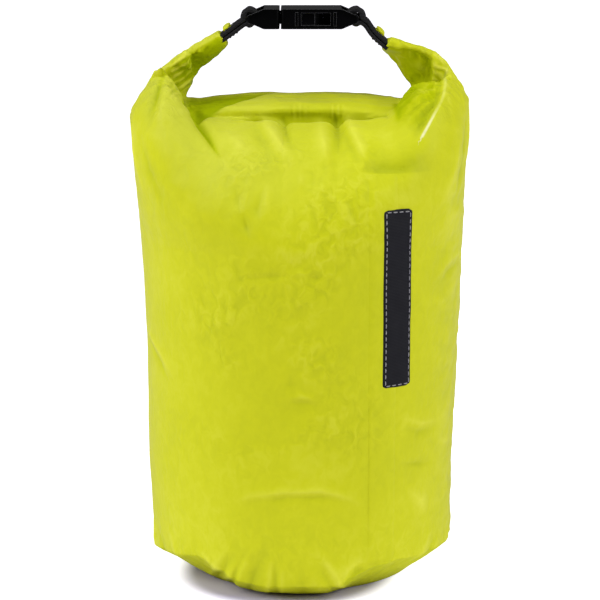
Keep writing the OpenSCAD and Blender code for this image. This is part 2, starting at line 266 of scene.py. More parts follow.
def skin(field, low, high, step, block=4):
    """Places and faces of the field's zero level. Only blocks near it are sampled in full."""
    shape = [len(np.arange(a, b + step, step)) // block * block + 1 for a, b in zip(low, high)]
    axes = [low[k] + step * np.arange(shape[k]) for k in range(3)]
    coarse = np.stack(np.meshgrid(*[axis[::block] for axis in axes], indexing="ij"), axis=-1)
    solid = field(coarse.reshape(-1, 3)).reshape(coarse.shape[:3]) < 0
    count = corners_inside(solid)
    mixed = (count > 0) & (count < 8)
    grown = np.pad(mixed, 1)
    around = [tuple(slice(s, s + n) for s, n in zip(shift, mixed.shape)) for shift in np.ndindex(3, 3, 3)]
    mixed = np.any([grown[place] for place in around], axis=0)
    spread = [np.minimum(np.arange(n) // block, (n - 1) // block - 1) for n in shape]
    values = np.where(solid[np.ix_(*spread)], -1.0, 1.0)
    near = np.argwhere(mixed[np.ix_(*spread)])
    values[tuple(near.T)] = field(near * step + np.array(low))
    inside = values < 0
    count = corners_inside(inside)
    cells = np.argwhere((count > 0) & (count < 8))
    places, crossings = np.zeros((len(cells), 3)), np.zeros(len(cells))
    for a in np.ndindex(2, 2, 2):
        for axis in range(3):
            if a[axis]:
                continue
            b = np.array(a)
            b[axis] = 1
            first, second = values[tuple((cells + a).T)], values[tuple((cells + b).T)]
            crossed = (first < 0) != (second < 0)
            share = np.where(crossed, first / np.where(crossed, first - second, 1), 0)
            places += np.where(crossed[:, None], np.array(a) + share[:, None] * (b - np.array(a)), 0)
            crossings += crossed
    places = (cells + places / crossings[:, None]) * step + np.array(low)
    number = np.full([n - 1 for n in shape], -1)
    number[tuple(cells.T)] = np.arange(len(cells))
    faces = []
    for axis in range(3):
        u, v = (axis + 1) % 3, (axis + 2) % 3
        cut = [slice(1, n - 1) for n in shape]
        cut[axis] = slice(0, shape[axis] - 1)
        ahead = list(cut)
        ahead[axis] = slice(1, shape[axis])
        first, second = inside[tuple(cut)], inside[tuple(ahead)]
        for edges, flip in ((first & ~second, False), (~first & second, True)):
            at = np.argwhere(edges) + np.array([0 if a == axis else 1 for a in range(3)])
            ring = []
            for du, dv in ((0, 0), (-1, 0), (-1, -1), (0, -1)):
                near = at.copy()
                near[:, u] += du
                near[:, v] += dv
                ring.append(number[tuple(near.T)])
            ring = np.stack(ring, axis=1)
            faces.append(ring[:, ::-1] if flip else ring)
    return places, np.concatenate(faces)


def slope(field, points):
    out = np.zeros_like(points)
    for axis in range(3):
        nudge = np.zeros(3)
        nudge[axis] = 0.1
        out[:, axis] = (field(points + nudge) - field(points - nudge)) / 0.2
    return out


def settle(points, rounds=3):
    """Draws points onto the fabric's zero level, and gives the way that it faces there."""
    for _ in range(rounds):
        lie = slope(fabric, points)
        step = fabric(points) / np.maximum((lie**2).sum(1), 0.05)
        points = points - np.clip(step, -1.5, 1.5)[:, None] * lie
    lie = slope(fabric, points)
    return points, lie / np.maximum(np.linalg.norm(lie, axis=1), 1e-6)[:, None]


# Folds of the front, each along a line of points: x, z, height and half-width. A fold that stands proud
# has a height above zero. First the slit beside the left lap, and the valley down its middle.
slit = [(-58, 261, -3, 1.6), (-54, 256.5, -4, 1.6), (-49.5, 251.2, -4, 1.6), (-45.5, 246, -3, 1.4),
        (-41, 240, 0, 1.2)]
left_valley = [(-74.5, 282, -1.8, 2), (-76.8, 275.7, -2.4, 2.4), (-79.5, 268.4, -2.2, 2.8),
               (-81.3, 261, -1.3, 3.4), (-82, 253, 0, 4)]
slit_sides = [
    [(-60, 258, 1.2, 3), (-52, 249, 1, 3), (-43, 240, 0, 3)],
    [(-50, 258, 0.6, 2.5), (-45, 252.5, 0.9, 2.5), (-38, 246, 0, 3)],
]
# Folds of the two laps, of the panel, and its broad swells.
lap_folds = [
    [(-74.3, 277.5, 1, 2), (-66.5, 266.5, 0.9, 2), (-59, 256, 0.7, 2.2)],
    [(-73, 277, 0.8, 2.5), (-75, 266, 0.9, 3.5), (-77, 256, 0, 4)],
    [(81, 281.5, 1, 1.6), (79.2, 276, 1.2, 1.6), (76.5, 269, 1.2, 1.5), (71.9, 262.5, 1.2, 1.4),
     (66.8, 254.5, 1.2, 1.2), (63, 249, 0, 1)],
    [(77, 278, -1.6, 2), (74, 270.5, -1.9, 2.2), (69.6, 264, -1.9, 2.2), (64.4, 256, -1.3, 2),
     (60, 249, 0, 1.6)],
    [(75.5, 273, -1, 1.6), (69, 271, -2, 1.8), (62, 266.5, -1.6, 1.8), (56, 261.5, 0, 1.6)],
    [(76, 275.5, 0.8, 1.6), (69, 273.6, 1.2, 1.6), (63, 270, 0.8, 1.6), (58, 265.5, 0, 1.6)],
    [(73, 268.5, -1, 1.6), (68, 264.6, -2, 1.8), (62, 259.5, -1.4, 1.8), (57, 255, 0, 1.6)],
    [(73.5, 270.5, 0.6, 1.6), (68, 267.6, 1.4, 1.6), (62, 262.8, 1, 1.6), (57, 258, 0, 1.6)],
    [(69, 262, -0.8, 1.5), (64, 257.6, -1.4, 1.6), (59.5, 252.5, 0, 1.5)],
]
panel_folds = [
    [(-20, 256, 1.5, 3.5), (-15, 251.5, 2.7, 3.6), (-10, 246.5, 2.4, 3.6), (-3, 238, 0, 3.4)],
    [(-24, 255, -0.8, 3), (-19.5, 249.5, -2, 3), (-13.5, 242.7, -1.2, 2.6), (-9, 237, 0, 2.4)],
    [(-9.3, 256, -1.8, 2), (-6.5, 250, -1.5, 2), (-3, 244, 0, 2)],
    [(11, 254, 1.2, 3), (12.8, 247.4, 2.1, 2.8), (15, 238, 0, 2.6)],
    [(20, 256, -1.8, 2), (20.5, 249, -1.5, 2), (20, 242, 0, 2)],
    [(26.5, 256, 1.7, 3.2), (31.6, 247.1, 2.4, 3.2), (37, 236, 0, 3)],
    [(23.5, 254, -1, 2.6), (27.3, 247, -1.8, 2.6), (32, 238, 0, 2.6)],
    [(-40, 252, 0.8, 4), (-32, 246.4, 1.8, 4), (-23, 239, 0, 3.5)],
    [(44, 254, 0.4, 4), (48, 246, 0.7, 4), (53, 236, 0, 4)],
    [(34, 238, 0, 3), (42, 236.5, -1, 3), (54, 236.5, -1, 3), (63, 240, 0, 3)],
    [(-30.6, 215, 0, 1.3), (-28.5, 208.5, -1.2, 1.3), (-26, 202, 0, 1.3)],
    [(-34.4, 231, 0, 1.6), (-33, 222, -1, 1.5), (-31, 214, 0, 1.5)],
    [(-17.2, 230, 0, 1.5), (-17.6, 222, 1, 1.5), (-18, 214, 0, 1.5)],
    [(-20.2, 229, 0, 1.5), (-22.4, 217, -1, 1.5), (-23, 212, 0, 1.5)],
    [(-39, 177.6, 0, 1.5), (-26.5, 180.1, -0.8, 1.5), (-13.2, 181.9, -0.8, 1.5), (-5, 183.5, 0, 1.5)],
    [(-8, 183, 0, 1.5), (0, 184.2, 1, 1.5), (6.3, 181.5, -1, 1.4), (15, 179.7, 0, 1.5)],
    [(0, 236, 0, 1.3), (0.6, 231, 1, 1.3), (1.2, 227, 0, 1.3)],
    [(6.4, 237, 0, 1.3), (6.7, 231, -1, 1.3), (7, 225, 0, 1.3)],
    [(12.6, 242, 0, 1.3), (13, 238, -1, 1.3), (13.3, 233, 0, 1.3)],
    [(-36, 56, 0, 1.6), (-27, 60, 0.8, 1.6), (-8, 63.4, 1, 1.6), (10.8, 63.9, 1.1, 1.6),
     (22.7, 61, 0.9, 1.6), (35, 53, 0, 1.6)],
    [(-30, 55.5, 0, 1.5), (-8, 59.8, -0.7, 1.5), (10.8, 60.3, -0.8, 1.5), (26, 56, 0, 1.5)],
    [(-5.3, 129, 0, 1.3), (-5.3, 123, -0.8, 1.3), (-5.3, 118, 0, 1.3)],
    [(2.7, 133, 0, 1.3), (2.7, 126, 0.8, 1.3), (2.7, 118, 0, 1.3)],
    [(-8, 115.5, 0, 1.3), (1, 116.6, 1, 1.3), (12, 114, 0, 1.3)],
    [(-6, 112.4, 0, 1.3), (1, 113.4, -0.8, 1.3), (10, 111, 0, 1.3)],
    [(54, 101, 0, 2), (65.8, 94.5, 1.4, 2), (78, 92.3, 0, 2)],
    [(55, 95, 0, 2), (65.8, 89, -1.2, 2), (77, 88, 0, 2)],
    [(54, 74, 0, 1.5), (64, 71.5, -1.4, 1.5), (75, 68, 0, 1.5)],
    [(58, 60, 0, 3), (66, 50, 1.4, 3), (70, 40, 0, 3)],
    [(-50, 2, 1, 2.6), (-45.8, 15.9, 1.5, 2.4), (-38, 32, 0, 2.2)],
    [(-42, 3, 1, 2.2), (-38.5, 13, 1.2, 2.2), (-33, 25, 0, 2)],
    [(-46, 4, -1.3, 2.2), (-42, 14, -1.3, 2.2), (-36, 28, 0, 2)],
    [(-38, 3, -1.4, 2.4), (-35, 14, -1.4, 2.2), (-29, 28, 0, 2)],
    [(-36, 4, 0.8, 2.4), (-32, 16.8, 1.4, 2.4), (-24, 34, 0, 2.4)],
    [(-28, 4, -1.3, 2.6), (-25, 15, -1.2, 2.6), (-18, 31, 0, 2.4)],
    [(-18, 4, 0.9, 2), (-16.3, 16, 1.1, 2), (-16, 29, 0, 2)],
    [(-13, 4, -1, 2), (-13, 15, -0.9, 2), (-13, 27, 0, 2)],
    [(-10, 4, 0.8, 1.8), (-9.8, 16, 1, 1.8), (-9.6, 26, 0, 1.8)],
    [(2, 4, -1.2, 3), (1, 12, -0.9, 3), (0, 24, 0, 3)],
    [(24, 4, 0.8, 2.4), (19.1, 15.7, 1.3, 2.2), (10, 30, 0, 2)],
    [(20, 4, -1, 2), (14.5, 14, -1, 2), (6, 27, 0, 2)],
    [(22, 12, 0.5, 1.8), (25.6, 18, 1.3, 1.8), (31, 22.5, 1, 1.8), (37, 21, 0, 1.8)],
    [(27, 12, -1, 2), (31, 17, -1.3, 2), (37, 17, 0, 2)],
    [(-58, 23.5, 0, 1.6), (-52, 21.5, 0.8, 1.4), (-47, 15, 1, 1.4), (-42, 7, 0.8, 1.4), (-36, 2, 0, 1.4)],
]
broad_folds = [
    [(-30, 90, 0, 6), (-24, 70, -0.6, 6), (-26, 45, 0, 6)],
    [(8, 100, 0, 7), (12, 80, -0.6, 7), (10, 60, 0, 7)],
    [(-62, 210, 0, 7), (-50, 170, -0.7, 7), (-52, 130, 0, 7)],
    [(20, 215, 0, 8), (14, 160, 0.7, 8), (18, 120, 0, 8)],
]
pressed_folds = [left_valley] + lap_folds + panel_folds
front_folds = [slit] + slit_sides + pressed_folds + broad_folds
# Folds of the two bent-up ends.
horn_folds = [
    [(-64.5, 297, 0, 1.6), (-63, 293, 1, 1.8), (-61.6, 287, 1.3, 1.8), (-61.4, 281, 0, 2)],
    [(-72.5, 288, 0, 1.4), (-67, 287.2, 1, 1.4), (-62, 284.6, 0.6, 1.4)],
    [(-71.5, 285, 0, 1.4), (-66.5, 284, -1.2, 1.4), (-62, 281.6, -0.6, 1.4)],
    [(-49, 297.5, 0, 1.3), (-50.5, 294, -1, 1.4), (-50.5, 290, 0, 1.4)],
    [(-46, 300, 0, 1), (-46.5, 297.5, -0.7, 1.1), (-46, 294.5, 0, 1)],
    [(72.3, 292, 0, 1.2), (72.3, 286, -2.2, 1.4), (72.3, 280, -2.2, 1.4), (72.3, 274.5, 0, 1.4)],
    [(74.6, 291, 0, 1.6), (74.6, 284, 1, 1.6), (74.6, 276, 0, 1.6)],
    [(61.5, 293.5, 0, 1.3), (63.5, 288.5, -1.5, 1.6), (65, 284, 0, 1.6)],
    [(67, 294, 0, 1.3), (69.5, 290.5, -1.6, 1.5), (71.5, 287, -0.5, 1.4)],
    [(56, 296, 0, 1.2), (57.5, 291.5, -1.2, 1.4), (56.5, 287.5, 0, 1.4)],
    [(59, 295, 0, 1.5), (60.5, 290, 0.8, 1.6), (61, 284, 0, 1.6)],
    [(51.5, 298.5, 0, 1), (51.8, 296, -0.8, 1.1), (51, 293, 0, 1)],
]
# Folds of the back: those of the front panel, mirrored and a little lower.
back_folds = [[(4 - x, z - 3, height, width) for x, z, height, width in route]
              for route in panel_folds + broad_folds]
# Folds of the two sides, each along a line of points: y, z, height and half-width.
side_folds = [
    [(7, 262, -0.8, 2.2), (11, 247, -1.9, 2.6), (17, 228, 0, 3)],
    [(-8, 260, 0.6, 2.6), (-13, 246, 1.6, 3), (-21, 224, 0, 3.4)],
    [(18, 254, 0.8, 3), (25, 240, 1.5, 3.2), (35, 216, 0, 3.6)],
    [(-20, 252, -0.7, 3), (-28, 236, -1.4, 3), (-41, 208, 0, 3.4)],
    [(-33, 246, 0.5, 3), (-40, 234, 1.2, 3), (-52, 212, 0, 3.4)],
    [(38, 244, -0.5, 3), (45, 232, -1.2, 3), (56, 212, 0, 3.4)],
    [(10, 139, 0, 2), (22, 136, 1.1, 2), (36, 129, 1, 2), (48, 118, 0, 2)],
    [(11, 134, 0, 2), (22, 131, -0.9, 2), (34, 124, -0.9, 2), (44, 114, 0, 2)],
    [(-50, 172, 0, 2), (-38, 180, 1, 2), (-22, 183, 1, 2), (-9, 180, 0, 2)],
    [(-48, 167, 0, 2), (-36, 175, -0.8, 2), (-22, 178, -0.8, 2), (-10, 175, 0, 2)],
    [(-42, 84, 0, 2.2), (-30, 78, 1, 2.2), (-14, 77, 0, 2.2)],
    [(-56, 5, 0.8, 2.2), (-50, 16, 1.3, 2.2), (-41, 31, 0, 2)],
    [(-48, 5, -1, 2), (-43, 15, -1.2, 2), (-35, 28, 0, 2)],
    [(-22, 5, 0.8, 2.2), (-18, 16, 1.2, 2.2), (-11, 30, 0, 2)],
    [(-14, 5, -1, 2), (-11, 15, -1.1, 2), (-7, 27, 0, 2)],
    [(14, 5, 0.8, 2), (12, 15, 1.1, 2), (8, 29, 0, 2)],
    [(30, 5, -1, 2.4), (27, 15, -1.1, 2.4), (20, 28, 0, 2)],
    [(47, 5, 0.9, 2.2), (44, 16, 1.2, 2.2), (36, 32, 0, 2)],
]
# The sharp fold of the right lap, along which a pale highlight is painted: x and z.
highlight_fold = np.array([(81, 281.5), (79.2, 276), (76.5, 269), (71.9, 262.5), (66.8, 254.5), (65.2, 252)])
# Tucks, each along a line of points: x, z and depth. The layer at the right of the line goes in under
# the other, and comes back out over the reach given first.
left_tuck = 8, [(-59.2, 274, 0), (-58.6, 279, 3), (-59.3, 284, 5), (-61, 291, 5), (-63.5, 294.5, 3),
                (-66, 297, 0)]
right_tuck = 15, [(46, 296.5, 0), (54.5, 293.6, 2.4), (61.7, 294.2, 3), (67.3, 292, 3.6), (71.8, 288, 3.6),
                  (72.6, 282.4, 3.2), (73.2, 271, 0)]


def beside(points, route):
    """Distance of points from a line of x and z, below zero on its left, and how far along it they lie."""
    x, z = points[:, 0], points[:, 2]
    best, passed = np.full(len(points), 1e9), np.zeros(len(points))
    for k, (start, end) in enumerate(zip(route[:-1], route[1:])):
        way = end - start
        share = np.clip(((x - start[0]) * way[0] + (z - start[1]) * way[1]) / (way @ way), 0, 1)
        off_x, off_z = x - start[0] - share * way[0], z - start[1] - share * way[1]
        away = np.hypot(off_x, off_z) * np.sign(way[1] * off_x - way[0] * off_z)
        closer = np.abs(away) < np.abs(best)
        best = np.where(closer, away, best)
        passed = np.where(closer, k + share, passed)
    return best, passed


def tucked_in(points, tuck):
    reach, route = tuck[0], np.array(tuck[1])
    away, passed = beside(points, route[:, :2])
    depth = np.interp(passed, np.arange(len(route)), route[:, 2])
    return depth * ease(away, -0.3, 0.9) * np.exp(-(away / reach) ** 2)


def fold_height(points, folds):
    x, z = points[:, 0], points[:, 2]
    out = np.zeros(len(points))
    for fold in folds:
        route = np.array(fold, float)
        reach = 3 * route[:, 3].max()
        near = np.flatnonzero((x > route[:, 0].min() - reach) & (x < route[:, 0].max() + reach)
                              & (z > route[:, 1].min() - reach) & (z < route[:, 1].max() + reach))
        away, passed = beside(points[near], route[:, :2])
        height, width = (np.interp(passed, np.arange(len(route)), route[:, k]) for k in (2, 3))
        out[near] += height * np.exp(0.35 - np.hypot(away / width, 0.35) * 1.25)
    return out


def crumple(points, size, seed, octaves=3):
    """Smooth lumps of about the given size, from -1 to 1, with finer ones on them."""
    out = np.zeros(len(points))
    for octave in range(octaves):
        place = points / size * 2**octave + 17.3 * seed
        corner_at = np.floor(place).astype(np.int64)
        share = place - corner_at
        weight = share * share * (3 - 2 * share)
        for corner in np.ndindex(2, 2, 2):
            key = ((corner_at + corner) * np.array([73856093, 19349663, 83492791])).sum(1) & 0xFFFFFFFF
            key = ((key ^ (key >> 13)) * 1274126177) & 0xFFFFFFFF
            tilt = np.stack([((key >> bits) & 255) / 127.5 - 1 for bits in (3, 11, 19)], axis=1)
            near = np.prod(np.where(corner, weight, 1 - weight), axis=1)
            out += near * (tilt * (share - corner)).sum(1) / 2**octave
    return out


def creasing(points):
    """Where the fabric is crinkled: in patches down the middle, and near the bottom."""
    x, y, z = points.T
    from_middle = np.abs(x + 8 + 25 * crumple(points, 30, 11, 2))
    middle = ease(-from_middle, -62, -22) * between(z, 60, 110, 236, 252)
    middle = middle * ease(crumple(points, 42, 12, 2), -0.28, 0.28)
    return np.maximum(middle, 0.35 * ease(-z, -60, -15) * ease(crumple(points, 30, 13, 2), -0.3, 0.3))


def turned_down(points):
    """Where the roll's left stretch is turned down under the slack middle."""
    x, y, z = points.T
    past = -0.614 * (x + 21.2) + 0.79 * (y + 0.5)
    low = between(z, 254, 258, 268, 274) * ease(-y, -12, -4)
    return ease(past, -0.5, 3) * low * between(x, -66, -61, -20, -10)


def wrinkled(points):
    """Short wrinkles of the gathered ends, the roll and the right side, from -1 to 1."""
    x, y, z = points.T
    on_ends = ease(z, 262, 274) * ease(np.abs(x), 40, 52)
    on_roll = ease(z, 254, 260) * ease(-np.abs(x), -64, -54) * ease(-np.abs(y), -28, -20)
    on_right = 0.7 * ease(x, 66, 84) * ease(-z, -262, -250)
    out = on_ends * crumple(points, 6.5, 22, 2) + on_right * crumple(points * (1, 1, 1.8), 14, 23, 2)
    upright = ease(-np.abs(x + 0.5), -5.5, -3) + ease(-np.abs(x - 19.5), -4, -2)
    out += 0.7 * upright * on_roll * ease(-y, 12, 18) * np.cos(x * 2.1)
    lengthwise = 0.6 * crumple(points * (0.15, 1, 1), 4.5, 21, 2)
    under_turn = 0.9 * turned_down(points) * crumple(points, 10, 24, 2)
    return out + on_roll * (lengthwise + under_turn)


def pressed(points, folds):
    """Height of the given folds of the front, and of those of the back and the two sides."""
    x, y, z = points.T
    out = fold_height(points, folds) * ease(-y, 8, 14) + fold_height(points, back_folds) * ease(y, 8, 14)
    for side in (-1, 1):
        from_side = np.stack([side * y + 5 * side, x, z], axis=1)
        out += fold_height(from_side, side_folds) * ease(side * x, 56, 72)
    return out


def creased(points, lie):
    """How far all the folds and wrinkles move the fabric out."""
    x, y, z = points.T
    facing = ease(-lie[:, 1], -0.1, 0.25)
    out = pressed(points, front_folds)
    out += fold_height(points, horn_folds) * facing
    gathered = ease(z, 262, 276) * ease(np.abs(x), 40, 52)
    out += gathered * (0.7 * crumple(points, 9, 5) + 0.9 * (0.25 - np.abs(crumple(points, 11, 6))))
    knuckle = between(x, 50, 56, 77, 82) * ease(z, 254, 260) * ease(-y, 4, 8)
    out += knuckle * (1.3 * (0.2 - np.abs(crumple(points, 13, 14, 1))) + 0.2 * crumple(points, 6, 15, 2))
    high = np.flatnonzero((z > 262) & (np.abs(x) > 35))
    out[high] -= facing[high] * (tucked_in(points[high], left_tuck) + tucked_in(points[high], right_tuck))
    out += (1.3 - 0.6 * gathered) * wrinkled(points) - 2.2 * turned_down(points)
    slack = 0.5 + 0.7 * ease(z, 165, 225) + 0.6 * ease(-z, -45, -15)
    ridges = 0.22 - np.abs(crumple(points * (1, 1, 0.7), 26, 3, 2))
    out += slack * (0.6 * crumple(points, 20, 4) + 1.3 * np.clip(ridges, -0.1, 1))
    out += 0.8 * crumple(points, 60, 9, 1)
    shifted = points * (1.25, 1, 0.8) + 2.5 * crumple(points, 16, 8)[:, None]
    small_ridges = 0.16 - np.abs(crumple(shifted, 13, 7, 2))
    out += creasing(points) * facing * 2.2 * np.clip(small_ridges, 0, 1)
    return out


def relaxed(points, faces, rounds=4, rough=0.4):
    """Rounds the places where the mesh turns more sharply than cloth does."""
    for _ in range(rounds):
        total, count = np.zeros_like(points), np.zeros(len(points))
        for k in range(4):
            np.add.at(total, faces[:, k], points[faces[:, (k + 1) % 4]] + points[faces[:, (k + 3) % 4]])
            np.add.at(count, faces[:, k], 2)
        pull = total / count[:, None] - points
        points = points + pull * (0.6 * ease(np.linalg.norm(pull, axis=1), 0.5 * rough, 1.5 * rough))[:, None]
    return points


places, faces = skin(fabric, field_low, field_high, cell)
places, normals = settle(places)
rest_places = places
places = places + normals * (creased(places, normals) * ease(places[:, 2], 0.2, 4))[:, None]
places = relaxed(places, faces)


def piece(name, places, faces, material):
    mesh = bpy.data.meshes.new(name)
    mesh.from_pydata(places * MM, [], faces.tolist())
    mesh.polygons.foreach_set("use_smooth", np.ones(len(mesh.polygons), bool))
    mesh.materials.append(material)
    return placed(name, mesh)


class Value:
    """A socket of a finish, with arithmetic that adds Math nodes."""

    def __init__(self, tree, socket):
        self.tree, self.socket = tree, socket

    def node(self, kind, settings=(), sockets=(), output=0):
        made = self.tree.nodes.new("ShaderNode" + kind)
        for name, setting in dict(settings).items():
            if name == "stops":
                while len(made.color_ramp.elements) < len(setting):
                    made.color_ramp.elements.new(1)
                for element, (place, colour) in zip(made.color_ramp.elements, setting):
                    element.position, element.color = place, colour
            else:
                setattr(made, name, setting)
        for name, given in dict(sockets).items():
            if isinstance(given, Value):
                self.tree.links.new(given.socket, made.inputs[name])
            else:
                made.inputs[name].default_value = given
        return Value(self.tree, made.outputs[output]) if made.outputs else None

    def maths(self, operation, first, second):
        return self.node("Math", {"operation": operation}, {0: first, 1: second})

    def __add__(self, other):
        return self.maths("ADD", self, other)

    def __sub__(self, other):
        return self.maths("SUBTRACT", self, other)

    def __rsub__(self, other):
        return self.maths("SUBTRACT", other, self)

    def __mul__(self, other):
        return self.maths("MULTIPLY", self, other)

    __radd__, __rmul__ = __add__, __mul__


def finish(name):
    made = bpy.data.materials.new(name)
    made.use_nodes = True
    made.node_tree.nodes.clear()
    return made, Value(made.node_tree, None).node("TexCoord", output="Object")


def mark(at, name):
    """An amount that the mesh carries at its points or faces."""
    return at.node("Attribute", {"attribute_name": name}, output="Fac")


def noise(at, scale, detail, **more):
    return at.node("TexNoise", {}, {"Vector": at, "Scale": scale, "Detail": detail, **more})


def waves(at, direction, pitch, **more):
    """Stripes of the given pitch in metres, from 0 to 1, as the threads of a cloth lie."""
    sockets = {"Vector": at, "Scale": math.pi / 10 / pitch, **more}
    return at.node("TexWave", {"bands_direction": direction}, sockets, output="Fac")


def ranged(value, low, high, at_low, at_high, way="LINEAR"):
    """Goes from at_low to at_high while the value goes from low to high."""
    return value.node("MapRange", {"interpolation_type": way}, {
        "Value": value, "From Min": low, "From Max": high, "To Min": at_low, "To Max": at_high})


def ramp(value, *stops):
    return value.node("ValToRGB", {"stops": stops}, {"Fac": value})


def tinted(share, first, second):
    """A colour that goes from the first to the second with the share."""
    return share.node("Mix", {"data_type": "RGBA"}, {"Factor": share, 6: first, 7: second}, output=2)


def part_of(vector, axis):
    return vector.node("SeparateXYZ", {}, {0: vector}, output=axis)


def bumped(height, strength=1):
    return height.node("Bump", {}, {"Strength": strength, "Distance": 1, "Height": height})


# Coated nylon: lime with tone that differs at random, and painted light and shade, each marked below.
lime = (0.60, 0.635, 0.004, 1)
shaded_lime = (0.44, 0.49, 0.001, 1)
bright_lime = (0.76, 0.78, 0.06, 1)
painted_shade_lime = (0.37, 0.45, 0.001, 1)
painted_sheen_lime = (0.55, 0.585, 0.06, 1)
highlight_lime = (0.86, 0.86, 0.45, 1)
thread_pitch = 0.0007
nylon, at = finish("coated_nylon")
# Painted shade in the layers amount, and the folds' painted light and shade in the last one.
crinkled, painted_shade, polish = mark(at, "crinkled"), mark(at, "layers"), mark(at, "polish")
# Painted highlight: a pale line along the right lap's sharp fold, mixed into the colour last.
off_fold = at.node("Math", {"operation": "ABSOLUTE"}, {0: mark(at, "scuff")})
painted_fold_highlight = ranged(off_fold, 0.3, 1.05, 0.85, 0.0, "SMOOTHSTEP") * mark(at, "near_fold")
cloudy = noise(at, 22, 3, Roughness=0.55)
stretched = at.node("VectorMath", {"operation": "MULTIPLY"}, {0: at, 1: (1.45, 1.45, 1.1)})
crinkle = noise(stretched, 135, 2, Roughness=0.5, Distortion=0.7)
fine = noise(stretched, 330, 1)
# Painted light and shade of the crinkles: short pale and dark streaks in the colour, besides their bump.
painted_crinkle_light = ranged(crinkle, 0.36, 0.64, -1.0, 1.0)
pleats = at.node("Math", {"operation": "SINE"}, {0: 2 * math.pi * mark(at, "across_gathers")})
gathers = pleats * mark(at, "gathered")
# Painted highlight and shade: fold ridges lighter and hollows darker, on the fabric's random tone.
tone_and_painted_light = 0.322 + 0.28 * cloudy + 0.33 * polish + 0.045 * fine + (0.028 + 0.095 * crinkled) * painted_crinkle_light
# The gathers' pleats are painted lighter and darker too, as their light and shade, besides their bump.
tone = ramp(tone_and_painted_light + 0.26 * gathers, (0.15, shaded_lime), (0.5, lime), (0.85, bright_lime))
# Painted shade: deeper green where the painted shade is strong, less on pale crinkle streaks and pleats.
with_painted_shade = tinted(painted_shade * (1 - 0.35 * crinkled * painted_crinkle_light) - 0.35 * gathers, tone, painted_shade_lime)
# Painted sheen: faces that point up, most on the left, are painted paler and bluer, as the lamps' sheen.
upward = part_of(at.node("NewGeometry", output="Normal"), "Z")
on_left = ranged(part_of(at, "X"), -0.06, 0.03, 1.0, 0.1)
with_painted_sheen = tinted(ranged(upward, 0.1, 0.6, 0.0, 0.5) * (1 - painted_shade) * on_left, with_painted_shade, painted_sheen_lime)
colour_with_painted_light = tinted(painted_fold_highlight, with_painted_sheen, highlight_lime)
weave = sum(waves(at, axis, thread_pitch) for axis in "XYZ")
relief = (0.00025 + 0.0012 * crinkled) * crinkle + 0.00015 * fine + 0.00002 * weave + 0.0004 * gathers
raised = bumped(relief)
coated = at.node("BsdfPrincipled", {}, {
    "Base Color": colour_with_painted_light, "Roughness": 0.45 + 0.12 * cloudy, "Normal": raised, "Specular IOR Level": 0.17,
    "Sheen Weight": 0.04, "Sheen Roughness": 0.45, "Sheen Tint": (1, 1, 0.85, 1)})
matt = at.node("BsdfPrincipled", {}, {
    "Base Color": colour_with_painted_light, "Roughness": 1.0, "Normal": raised, "Specular IOR Level": 0.0})
matted = at.node("Math", {"operation": "MULTIPLY", "use_clamp": True}, {0: painted_shade, 1: 1.8})
at.node("OutputMaterial", {}, {"Surface": at.node("MixShader", {}, {0: 0.9 * matted, 1: coated, 2: matt})})


def shared_normals(places, faces):
    corners = places[faces]
    across = np.cross(corners[:, 2] - corners[:, 0], corners[:, 3] - corners[:, 1])
    out = np.zeros_like(places)
    for k in range(4):
        np.add.at(out, faces[:, k], across)
    return out / np.maximum(np.linalg.norm(out, axis=1), 1e-9)[:, None]


skin_normals = shared_normals(places, faces)
rest_x, rest_y, rest_z = rest_places.T
lie_x, lie_y, lie_z = normals.T
# Painted highlight: a pale line along the right lap's sharp fold, fading away from it.
from_highlight_fold, _ = beside(rest_places, highlight_fold)
near_fold = ease(-np.abs(from_highlight_fold), -5, -3) * ease(-rest_y, 0, 6) * (1 - 0.85 * ease(rest_z, 257, 267))


def fold_light_and_shade_at(points, lie):
    """Painted highlight and shade: how far folds and wrinkles lighten the fabric, or below zero darken it."""
    x, y, z = points.T
    upright = ease(np.hypot(lie[:, 0], lie[:, 1]), 0, 0.3)
    out = np.clip(pressed(points, pressed_folds) / 2, -1, 1) * upright + 0.6 * wrinkled(points)
    out += 0.8 * np.clip(fold_height(points, horn_folds) / 1.5, -1, 1) * ease(-lie[:, 1], -0.1, 0.25)
    # Painted shade on a band above the side seam's top, and a painted highlight on a strip of the right end.
    slack = ease(-np.abs(x - 50), -24, -10) * between(z, 233.6, 235.4, 238, 254) * ease(-y, 0, 10)
    strip = between(x, 72.6, 74, 80, 84) * ease(z, 273, 278) * ease(-lie[:, 1], 0, 0.3)
    return out - 0.7 * slack + 0.35 * strip


def crinkles_at(points):
    """How strongly the fabric is crinkled: as creasing says, and more on the two ends."""
    x, y, z = points.T
    on_ends = np.where(x < 0, 0.8, 0.55) * ease(z, 256, 264) * between(np.abs(x), 50, 56, 80, 86)
    return np.maximum(creasing(points), on_ends * ease(-y, -14, 0))


